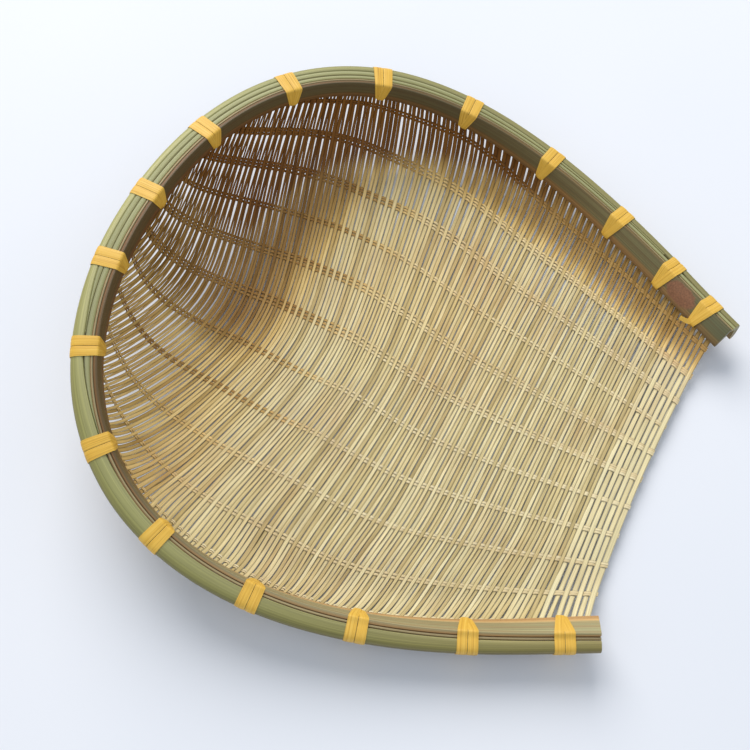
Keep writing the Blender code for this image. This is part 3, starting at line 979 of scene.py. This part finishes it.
def weft_rings(lines, k):
    """One weft: its rings, its middle line, its tint, and its browning mixed with painted light and shade along
    that line.
    """
    flat = lines[k]
    in_lip = k < LIP_WEFTS
    passed = walked_length(SHEET.point(flat[:, 0], flat[:, 1]))
    count = max(int(passed[-1] / MM / WEFT_STEP), 6)
    even = np.linspace(0.0, passed[-1], count)
    x = np.interp(even, passed, flat[:, 0])
    y = np.interp(even, passed, flat[:, 1])
    line = SHEET.point(x, y)
    up = SHEET.upright(x, y)
    side = unit(np.cross(up, unit(np.gradient(line, axis=0))))
    space = weft_space(lines, k, x, line, side)

    # Slits are wider in the walls, where some wefts leave wide ones and some leave none.
    wall = np.maximum(smooth((y - 0.3) / 0.4), smooth((x - 0.3) / 0.4))
    slit = WEFT_SLIT * DRAW.uniform(0.7, 1.25) + WALL_SLIT * wall * DRAW.choice((0.0, 1.0, 2.0))
    if in_lip:
        width = np.full(count, LIP_WIDTHS[min(k, 1)])
    else:
        width = np.clip(space - slit, *WEFT_WIDTHS)

    # Between two crossings a weft drifts to one side, and its neighbour to the other.
    m = row_m(x, y)
    way = 1 if k % 2 else -1
    drift = np.interp(m, np.arange(-8, 12), DRAW.uniform(0.5, 1.25, 20)) * (LIP_DRIFT if in_lip else 1.0)
    loose = np.clip(space - width, *WEFT_LOOSE)
    slide = way * drift * 0.5 * loose * np.tanh(2.5 * np.sin(np.pi * m))
    wave = np.cos(np.pi * m)
    lift = way * WEFT_WAVE * wave * (1.5 - 0.5 * wave**2)
    line = line + side * slide[:, None] + up * lift[:, None]

    tint = DRAW.uniform(0.1, 0.9) if k > LIP_WEFTS else DRAW.uniform(0.75, 1.0)
    knots = np.arange(0.0, count + WEFT_KNOT, WEFT_KNOT)
    tilt = np.interp(np.arange(count), knots, DRAW.normal(0, WEFT_TILT, len(knots)))
    width = width * np.interp(np.arange(count), knots, DRAW.uniform(0.88, 1.05, len(knots)))
    rings = strip_rings(line, up + side * tilt[:, None], width, WEFT_THICK)
    return rings, line, tint, bed_brown_and_shade(x, y, line[:, 2])


def build_wefts(lines):
    """All wefts, and the last one along the mouth on its own."""
    wefts, lip = Strands(), Strands()
    for k in range(len(lines)):
        rings, line, tint, brown_and_shade = weft_rings(lines, k)
        strands = wefts if k else lip
        strands.sweep(rings, walked_length(line) + k * WEFT_LATER, STRIP_TURN, tint, brown_and_shade=brown_and_shade)
    return wefts, lip


def crossings(lines, m, shift):
    """Sheet y where a warp strand meets each weft.

    A strand starts at the first weft that reaches it, and stops where it leaves the sheet.
    """
    found = []
    y = None
    for flat in lines:
        if y is None:
            y = flat[len(flat) // 2, 1]
        for _ in range(5):
            x = row_x(m, y) + shift
            y = float(np.interp(x, flat[:, 0], flat[:, 1]))
        if not flat[0, 0] < x < flat[-1, 0]:
            if found:
                break
            y = None
            continue
        found.append(y)
    return found


def build_warps(lines):
    """Rows of 2 or 3 warp strands that pass over and under the wefts."""
    strands = Strands()
    for m in range(ROW_FIRST, ROW_LAST + 1):
        count = 2 if m % 3 == 0 or m < 0 else 3
        way = -1 if m % 2 else 1
        for j in range(count):
            shift = (j - (count - 1) / 2) * WARP_STEP / SHEET_MM
            found = crossings(lines, m, shift)
            if len(found) < 4:
                continue
            fine = np.linspace(-WARP_OVERHANG, len(found) - 1, (len(found) + 1) * WARP_FINE)
            y = np.interp(fine, np.arange(len(found)), found)
            y = np.where(fine < 0, found[0] + fine * (found[1] - found[0]), y)
            knots = np.arange(-1, len(found) + WARP_KNOT, WARP_KNOT)
            wander = np.interp(fine, knots, DRAW.normal(0, WARP_WANDER, len(knots)))
            x = row_x(m, y) + shift + wander
            line = SHEET.point(x, y)
            up = SHEET.upright(x, y)
            lift = way * WARP_WAVE * np.cos(np.pi * fine)
            line = line + up * lift[:, None]
            rings = strip_rings(line, up, WARP_WIDTH, WARP_THICK)
            tint = DRAW.uniform(0.2, 0.8)
            # Browning mixed with painted light and shade for this strand.
            brown_and_shade = np.maximum(bed_brown_and_shade(x, y, line[:, 2]), warp_brown_and_shade(x, y))
            strands.sweep(rings, walked_length(line) + m * WARP_LATER + j, STRIP_TURN, tint, brown_and_shade=brown_and_shade)
    return strands


WEFT_SHADES = ((0.89, 0.79, 0.48), (0.67, 0.54, 0.26), (0.38, 0.28, 0.11))
WARP_SHADES = ((0.90, 0.80, 0.52), (0.76, 0.62, 0.35), (0.50, 0.35, 0.15))


def bed():
    weft = bamboo_strip("weft_bamboo", *WEFT_SHADES)
    warp = bamboo_strip("warp_bamboo", *WARP_SHADES, red=0.6)
    lines = [weft_line(y) for y in weft_starts()]
    wefts, lip = build_wefts(lines)
    settle(wefts.build("bed_wefts", weft), "bamboo_weave", "woven_bed")
    settle(build_warps(lines).build("bed_warps", warp), "bamboo_weave", "woven_bed")
    settle(lip.build("lip_strip", weft), "bamboo_weave", "lip_weft")


TURN_WIDTH = 6.0
TURN_THICK = 0.5
TURN_SHARP = 45.0
TURN_PINCH = 0.78
TURN_APART = 0.55
TURN_SPREAD = 2.6
TURN_RAISED = 0.3
TURN_LATER = 0.37
TURN_CLEAR = 0.12
TAIL_STEPS = 9
TAIL_WIDTH = 3.6
TAIL_TAPER = 1.0
CURVE_STEPS = 5
CURVE_SMOOTHING = 9


def binding_path(distance):
    """Middle line of the lashing round the rim: rows of across, height and spread of its two turns."""
    clear = TURN_CLEAR + TURN_THICK / 2
    slat_in = -INNER_THICK - 0.25 - clear
    wide = hoop_width(distance)
    side = outer_inner_side(distance)
    thick = outer_thickness(distance)
    turn = math.radians(OUTER_LEAN)

    def on_slat(out, up, spread):
        return (*leaning(distance, out, up), spread)

    def on_outer(out, up):
        across = side + out * math.cos(turn) + up * math.sin(turn)
        return across, up * math.cos(turn) - out * math.sin(turn), 1.0

    under = -wide - clear
    return np.array((
        on_slat(-1.0, under, 0.0),
        on_slat(0.2 - INNER_THICK, under, 0.05),
        on_slat(slat_in, 0.7 - wide, 0.12),
        on_slat(slat_in, -wide / 2, 0.58),
        on_slat(slat_in + 0.1, -0.9, 1.0),
        on_slat(0.3 - INNER_THICK, clear, 1.0),
        (0.5 * side, clear + 0.1, 1.0),
        on_outer(0.2 * thick, clear + 0.25),
        on_outer(0.62 * thick + 0.1, clear + 0.1),
        on_outer(0.88 * thick + 0.3, 0.2 - 0.06 * wide),
        on_outer(1.0 * thick + clear, -0.22 * wide),
        on_outer(1.0 * thick + clear, -0.5 * wide),
        on_outer(0.9 * thick + clear + 0.05, -0.82 * wide),
        on_outer(0.52 * thick + 0.35, -wide - clear),
        on_outer(-0.3, -wide - clear - 0.2),
        on_slat(BED_THICK + 2.2, under - 0.6, 0.1),
        on_slat(BED_THICK / 2 + GAP, under - 0.2, 0.0),
    ))


def closed_curve(rows):
    """Catmull-Rom curve through closed rows, then smoothed."""
    made = []
    count = len(rows)
    for k in range(count):
        a, b, c, d = (rows[(k + i) % count] for i in (-1, 0, 1, 2))
        for t in np.arange(CURVE_STEPS) / CURVE_STEPS:
            bend = (2 * a - 5 * b + 4 * c - d) * t**2 + (3 * b - a - 3 * c + d) * t**3
            made.append(0.5 * (2 * b + (c - a) * t + bend))
    made = np.array(made)
    for _ in range(CURVE_SMOOTHING):
        made = (np.roll(made, 1, axis=0) + 2 * made + np.roll(made, -1, axis=0)) / 4
    return made


BAND_SECTION = np.array(((-1.0, -1.0), (0.0, -1.0), (1.0, -1.0), (1.0, 0.2), (0.5, 0.9), (-0.5, 0.9), (-1.0, 0.2)))


def binding(number, distance, material):
    """Lashing of two turns side by side, which cross over each other where they pass through the bed."""
    strands = Strands()
    path = closed_curve(binding_path(distance))
    middle, spread = path[:, :2], np.clip(path[:, 2], 0.0, 1.0)
    ahead = unit(np.roll(middle, -1, axis=0) - np.roll(middle, 1, axis=0))
    out = np.column_stack((-ahead[:, 1], ahead[:, 0]))
    twist = DRAW.uniform(-0.5, 0.5)
    turn = np.linspace(0, 1, len(BAND_SECTION) + 1)
    for way in (-1, 1):
        offset = way * (TURN_APART + TURN_SPREAD * spread) + twist * (1 - spread)
        raised = (TURN_RAISED + TURN_RAISED * way) * (1 - spread)
        width = TURN_WIDTH * (TURN_PINCH + (1 - TURN_PINCH) * spread)
        rings = []
        for a, b in BAND_SECTION:
            rows = middle + out * (raised + b * TURN_THICK / 2)[:, None]
            rings.append(RIM.point(distance + offset + a * width / 2, rows[:, 0], rows[:, 1]))
        rings = np.stack(rings, axis=1)
        length = walked_length(rings[:, 0]) + number * TURN_LATER + way
        strands.sweep(rings, length, turn, DRAW.uniform(0, 1), closed=True)
    made = strands.build(f"lashing_{number:02d}", material, TURN_SHARP)
    settle(made, "yellow_strip", f"binding_{number:02d}")


def tail(distance, material):
    """Loose end of the last lashing, tucked out over the bed."""
    wide = hoop_width(distance)
    steps = np.linspace(0.0, 1.0, TAIL_STEPS)
    out, up = leaning(distance, -INNER_THICK - 0.9 - 3.2 * steps, -wide + 0.4 - 3.4 * steps + 1.2 * steps**2)
    line = RIM.point(distance - 1.0 - 6.0 * steps**1.3, out, up)
    face = unit(RIM.point(distance, *leaning(distance, -2.0, 0.0)) - RIM.point(distance, 0.0, 0.0))
    rings = strip_rings(line, np.broadcast_to(face, line.shape), TAIL_WIDTH - TAIL_TAPER * steps, TURN_THICK)
    strands = Strands()
    strands.sweep(rings, walked_length(line), STRIP_TURN, 0.5)
    settle(strands.build("lashing_tail", material), "yellow_strip", f"binding_{len(BINDINGS):02d}")


def lashings():
    material = yellow_strip()
    tail(BINDINGS[-1], material)
    for number, distance in enumerate(BINDINGS, 1):
        binding(number, distance, material)


# ---------------------------------------------------------------- stage

VIEW_TARGET = np.array((-29.95, -171.6, 45.0))
VIEW_AZIMUTH = math.radians(207.04)
VIEW_ELEVATION = math.radians(64.32)
VIEW_DISTANCE = 720.0
VIEW_SENSOR = 36.0
VIEW_LENS = 1158.0 / 750.0 * VIEW_SENSOR
TABLE_HALF = 4.0
TABLE_DROP = 0.0005
SKY_COLOUR = (0.86, 0.92, 1.0, 1.0)
SKY_STRENGTH = 0.55
# Name, direction, distance in metres, size in metres, watts and colour.
LAMPS = (
    ("key", (0.55, 0.53, 0.72), 3.4, 3.0, 104.0, (1.0, 0.97, 0.93)),
    ("fill", (-0.5, -0.5, 1.6), 3.0, 2.4, 10.0, (0.9, 0.95, 1.0)),
)


def add_camera(scene, target):
    flat = math.cos(VIEW_ELEVATION)
    back = Vector((flat * math.cos(VIEW_AZIMUTH), flat * math.sin(VIEW_AZIMUTH), math.sin(VIEW_ELEVATION)))
    camera = bpy.data.objects.new("camera", bpy.data.cameras.new("camera"))
    camera.data.lens = VIEW_LENS
    camera.data.sensor_width = VIEW_SENSOR
    camera.data.clip_start = 0.01
    camera.location = target + back * VIEW_DISTANCE * MM
    camera.rotation_mode = "QUATERNION"
    camera.rotation_quaternion = (-back).to_track_quat("-Z", "Y")
    scene.collection.objects.link(camera)
    scene.camera = camera


def add_table(scene):
    mesh = bpy.data.meshes.new("table_top")
    corners = [(x * TABLE_HALF, y * TABLE_HALF, 0) for x, y in ((-1, -1), (1, -1), (1, 1), (-1, 1))]
    mesh.from_pydata(corners, [], [(0, 1, 2, 3)])
    mesh.materials.append(table_top())
    floor = bpy.data.objects.new("table_top", mesh)
    floor.location.z = -TABLE_DROP
    scene.collection.objects.link(floor)


def add_lamp(scene, target, name, direction, distance, size, power, colour):
    light = bpy.data.objects.new(name, bpy.data.lights.new(name, "AREA"))
    light.data.shape = "DISK"
    light.data.size = size
    light.data.energy = power
    light.data.color = colour
    way = Vector(direction).normalized()
    light.location = target + way * distance
    light.rotation_mode = "QUATERNION"
    light.rotation_quaternion = way.to_track_quat("Z", "Y")
    scene.collection.objects.link(light)


def stage():
    scene = bpy.context.scene
    target = Vector((VIEW_TARGET + SHIFT) * MM)
    add_camera(scene, target)
    add_table(scene)
    world = bpy.data.worlds.new("studio")
    scene.world = world
    world.use_nodes = True
    sky = world.node_tree.nodes["Background"]
    sky.inputs["Color"].default_value = SKY_COLOUR
    sky.inputs["Strength"].default_value = SKY_STRENGTH
    for lamp in LAMPS:
        add_lamp(scene, target, *lamp)
    scene.view_settings.view_transform = "Standard"
    scene.view_settings.look = "None"


hoops()
bed()
lashings()
stage()
